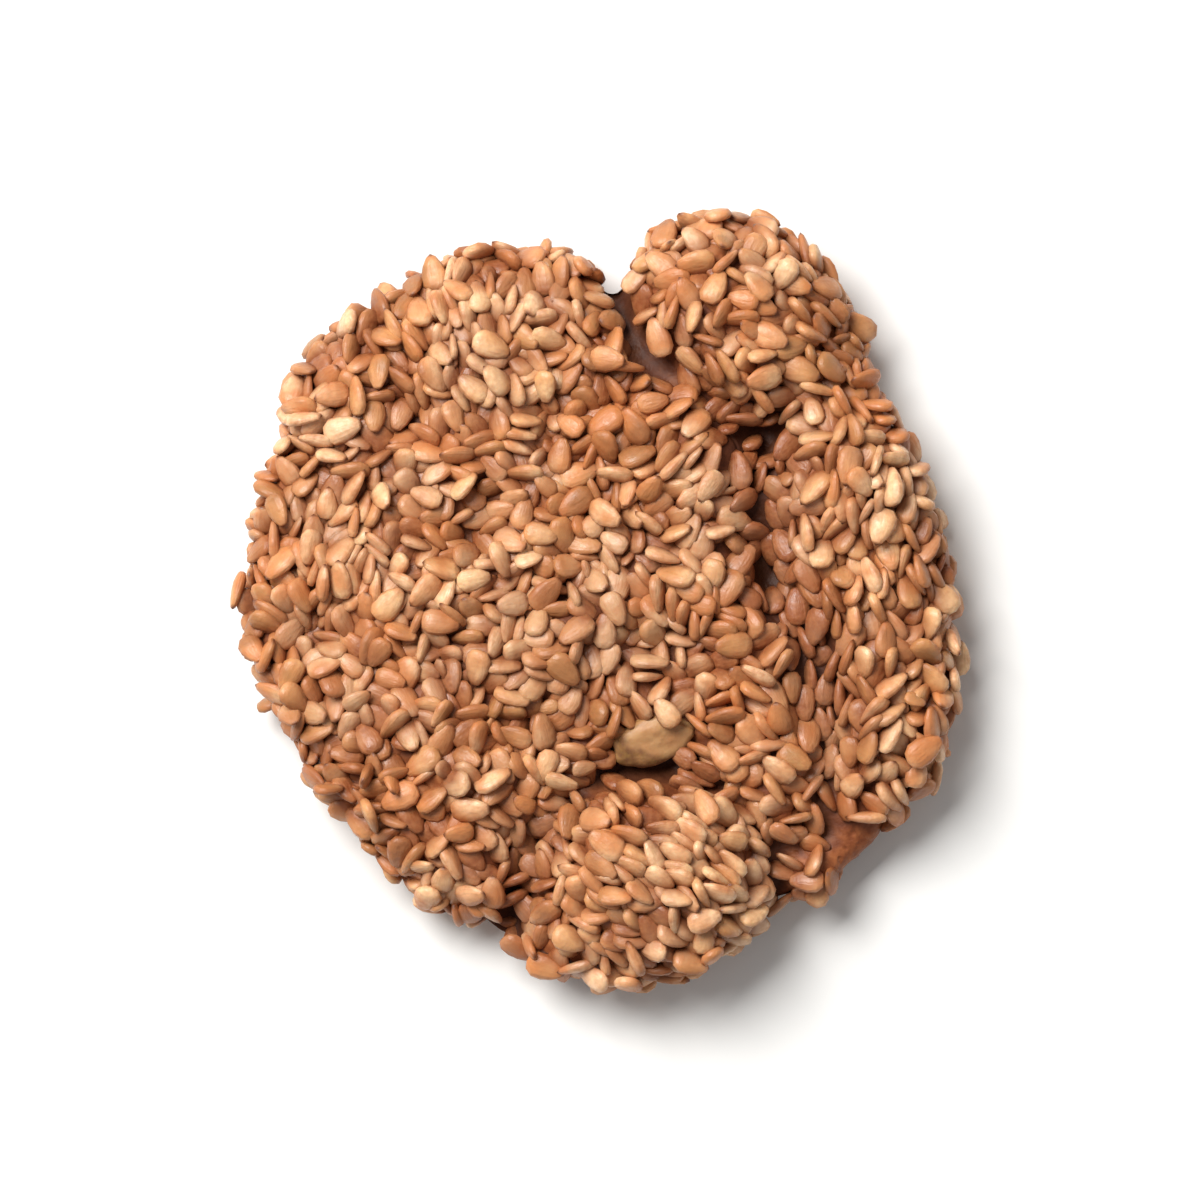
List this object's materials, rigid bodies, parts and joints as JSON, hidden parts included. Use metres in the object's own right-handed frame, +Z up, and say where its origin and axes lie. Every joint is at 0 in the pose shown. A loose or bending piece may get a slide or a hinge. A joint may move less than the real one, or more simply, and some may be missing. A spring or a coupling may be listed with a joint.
{
  "type": "barazek",
  "caption": "Crisp round sesame biscuit with a lumpy domed top coated in toasted sesame seeds, pistachio chips in its underside and rim, and a flat base.",
  "frame": {"origin": "middle of the biscuit's outline, on the surface that its base stands on", "axes": "+Z up out of the sesame-coated dome; +Y towards the notch in the rim, which is the top of the picture; +X towards the long crease on the dome"},
  "size_m": [0.053, 0.0566, 0.011],
  "materials": {
    "dough": "baked caramel-brown dough with a thin honey glaze",
    "sesame": "toasted golden seeds, slightly oily",
    "pistachio": "toasted olive-green nut"
  },
  "bodies": {
    "root": {"biscuit": "dough"}
  },
  "joints": []
}
